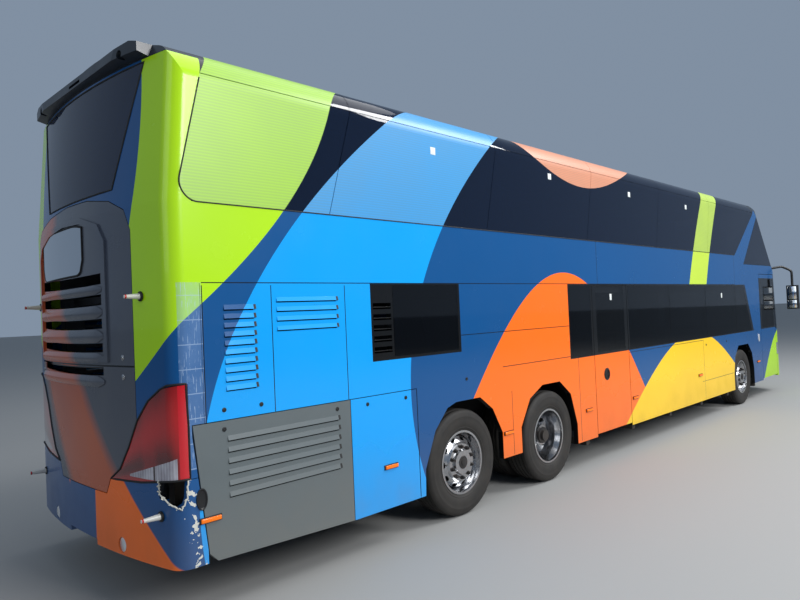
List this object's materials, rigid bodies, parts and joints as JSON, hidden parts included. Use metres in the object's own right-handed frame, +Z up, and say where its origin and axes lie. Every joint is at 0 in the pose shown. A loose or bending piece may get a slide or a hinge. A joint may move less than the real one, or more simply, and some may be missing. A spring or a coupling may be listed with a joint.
{
  "type": "double-deck coach",
  "caption": "Double-deck coach with a tag axle, plug doors, rear lids and side flaps that open, steered wheels that turn, and a hollow glazed cabin on both decks.",
  "frame": {"origin": "on the ground, under the middle of the overall box", "axes": "+Z up, -Y forwards, -X to the coach's right, where its doors are"},
  "size_m": [3.22, 14.06, 4],
  "materials": {
    "body_paint": "gloss",
    "grey_paint": "satin",
    "tinted_glass": "gloss",
    "dark_steel": "matt",
    "polished_rim": "polished",
    "tyre": "matt",
    "black_liner": "matt",
    "cab_plastic": "matt",
    "floor_covering": "matt",
    "seat_cloth": "soft",
    "engine_iron": "rough",
    "red_lens": "gloss",
    "clear_lens": "gloss",
    "marker_plastic": "gloss",
    "hatch_plastic": "satin"
  },
  "bodies": {
    "body": {"arch_liners": "black_liner", "axles": "dark_steel", "dashboard": "cab_plastic", "engine_block": "engine_iron", "front_bumper": "body_paint", "front_nose": "body_paint", "headlamps": "clear_lens", "lower_floor": "floor_covering", "lower_seats": "seat_cloth", "lower_side_glass": "tinted_glass", "lower_wall_left": "body_paint", "lower_wall_right": "body_paint", "marker_lamps": "marker_plastic", "mirrors": "black_liner", "rear_bumper": "body_paint", "rear_frame": "body_paint", "rear_glass": "tinted_glass", "rear_visor": "grey_paint", "roof": "body_paint", "roof_hatches": "hatch_plastic", "staircase": "floor_covering", "tail_lamps": "red_lens", "underframe": "dark_steel", "upper_floor": "floor_covering", "upper_seats": "seat_cloth", "upper_side_glass": "tinted_glass", "upper_wall_left": "body_paint", "upper_wall_right": "body_paint", "windscreens": "tinted_glass"},
    "front_knuckle_right": {"front_knuckle_right": "dark_steel"},
    "front_wheel_right": {"front_rim_right": "polished_rim", "front_tyre_right": "tyre"},
    "tag_knuckle_right": {"tag_knuckle_right": "dark_steel"},
    "tag_wheel_right": {"tag_rim_right": "polished_rim", "tag_tyre_right": "tyre"},
    "drive_wheels_right": {"drive_rims_right": "polished_rim", "drive_tyres_right": "tyre"},
    "front_knuckle_left": {"front_knuckle_left": "dark_steel"},
    "front_wheel_left": {"front_rim_left": "polished_rim", "front_tyre_left": "tyre"},
    "tag_knuckle_left": {"tag_knuckle_left": "dark_steel"},
    "tag_wheel_left": {"tag_rim_left": "polished_rim", "tag_tyre_left": "tyre"},
    "drive_wheels_left": {"drive_rims_left": "polished_rim", "drive_tyres_left": "tyre"},
    "steering_wheel": {"steering_wheel": "black_liner"},
    "front_door_swing": {"front_door_swing": "dark_steel"},
    "front_door": {"front_door": "body_paint"},
    "middle_door_swing": {"middle_door_swing": "dark_steel"},
    "middle_door": {"middle_door": "body_paint"},
    "rear_flap_right": {"rear_flap_right": "grey_paint"},
    "rear_flap_left": {"rear_flap_left": "grey_paint"},
    "side_flap_right": {"side_flap_right": "body_paint"},
    "side_flap_left": {"side_flap_left": "body_paint"},
    "service_lid": {"service_lid": "body_paint"},
    "engine_lid": {"engine_lid": "body_paint"}
  },
  "joints": [
    {"name": "front_steer_right", "type": "hinge", "parent": "body", "child": "front_knuckle_right", "pos_m": [-0.985, -4.305, 0.505], "axis": [0, 0, 1], "range_deg": [-45, 45]},
    {"name": "front_roll_right", "type": "hinge", "parent": "front_knuckle_right", "child": "front_wheel_right", "pos_m": [-1.085, -4.305, 0.505], "axis": [1, 0, 0], "continuous": true},
    {"name": "tag_steer_right", "type": "hinge", "parent": "body", "child": "tag_knuckle_right", "pos_m": [-0.985, 3.945, 0.505], "axis": [0, 0, 1], "range_deg": [-15, 15]},
    {"name": "tag_roll_right", "type": "hinge", "parent": "tag_knuckle_right", "child": "tag_wheel_right", "pos_m": [-1.085, 3.945, 0.505], "axis": [1, 0, 0], "continuous": true},
    {"name": "drive_roll_right", "type": "hinge", "parent": "body", "child": "drive_wheels_right", "pos_m": [-1.085, 2.395, 0.505], "axis": [1, 0, 0], "continuous": true},
    {"name": "front_steer_left", "type": "hinge", "parent": "body", "child": "front_knuckle_left", "pos_m": [0.985, -4.305, 0.505], "axis": [0, 0, 1], "range_deg": [-45, 45]},
    {"name": "front_roll_left", "type": "hinge", "parent": "front_knuckle_left", "child": "front_wheel_left", "pos_m": [1.085, -4.305, 0.505], "axis": [1, 0, 0], "continuous": true},
    {"name": "tag_steer_left", "type": "hinge", "parent": "body", "child": "tag_knuckle_left", "pos_m": [0.985, 3.945, 0.505], "axis": [0, 0, 1], "range_deg": [-15, 15]},
    {"name": "tag_roll_left", "type": "hinge", "parent": "tag_knuckle_left", "child": "tag_wheel_left", "pos_m": [1.085, 3.945, 0.505], "axis": [1, 0, 0], "continuous": true},
    {"name": "drive_roll_left", "type": "hinge", "parent": "body", "child": "drive_wheels_left", "pos_m": [1.085, 2.395, 0.505], "axis": [1, 0, 0], "continuous": true},
    {"name": "steering_wheel_turn", "type": "hinge", "parent": "body", "child": "steering_wheel", "pos_m": [0.64, -6.18, 1.23], "axis": [0, 0.4695, 0.8829], "range_deg": [-900, 900]},
    {"name": "front_door_open", "type": "hinge", "parent": "body", "child": "front_door_swing", "pos_m": [-1.145, -6.302, 1.28], "axis": [0, 0, 1], "range_deg": [0, 115]},
    {"name": "front_door_guide", "type": "hinge", "parent": "front_door_swing", "child": "front_door", "pos_m": [-1.145, -5.702, 1.28], "axis": [0, 0, 1], "range_deg": [-115, 0]},
    {"name": "middle_door_open", "type": "hinge", "parent": "body", "child": "middle_door_swing", "pos_m": [-1.145, 0.525, 1.28], "axis": [0, 0, 1], "range_deg": [0, 115]},
    {"name": "middle_door_guide", "type": "hinge", "parent": "middle_door_swing", "child": "middle_door", "pos_m": [-1.145, 1.125, 1.28], "axis": [0, 0, 1], "range_deg": [-115, 0]},
    {"name": "rear_flap_right_open", "type": "hinge", "parent": "body", "child": "rear_flap_right", "pos_m": [-1.275, 6.03, 1.2805], "axis": [0, 1, 0], "range_deg": [0, 90]},
    {"name": "rear_flap_left_open", "type": "hinge", "parent": "body", "child": "rear_flap_left", "pos_m": [1.275, 6.03, 1.2805], "axis": [0, -1, 0], "range_deg": [0, 90]},
    {"name": "side_flap_right_open", "type": "hinge", "parent": "body", "child": "side_flap_right", "pos_m": [-1.275, 4.997, 1.2805], "axis": [0, 1, 0], "range_deg": [0, 90]},
    {"name": "side_flap_left_open", "type": "hinge", "parent": "body", "child": "side_flap_left", "pos_m": [1.275, 4.997, 1.2805], "axis": [0, -1, 0], "range_deg": [0, 90]},
    {"name": "service_lid_open", "type": "hinge", "parent": "body", "child": "service_lid", "pos_m": [0, 6.99, 2.888], "axis": [1, 0, 0], "range_deg": [0, 90]},
    {"name": "engine_lid_open", "type": "hinge", "parent": "body", "child": "engine_lid", "pos_m": [0, 6.99, 1.669], "axis": [1, 0, 0], "range_deg": [0, 90]}
  ],
  "couplings": [
    {"joint": "front_steer_left", "follows": "front_steer_right", "ratio": 1},
    {"joint": "tag_steer_right", "follows": "front_steer_right", "ratio": -0.3},
    {"joint": "tag_steer_left", "follows": "front_steer_right", "ratio": -0.3},
    {"joint": "steering_wheel_turn", "follows": "front_steer_right", "ratio": 20},
    {"joint": "front_door_guide", "follows": "front_door_open", "ratio": -1},
    {"joint": "middle_door_guide", "follows": "middle_door_open", "ratio": -1}
  ]
}
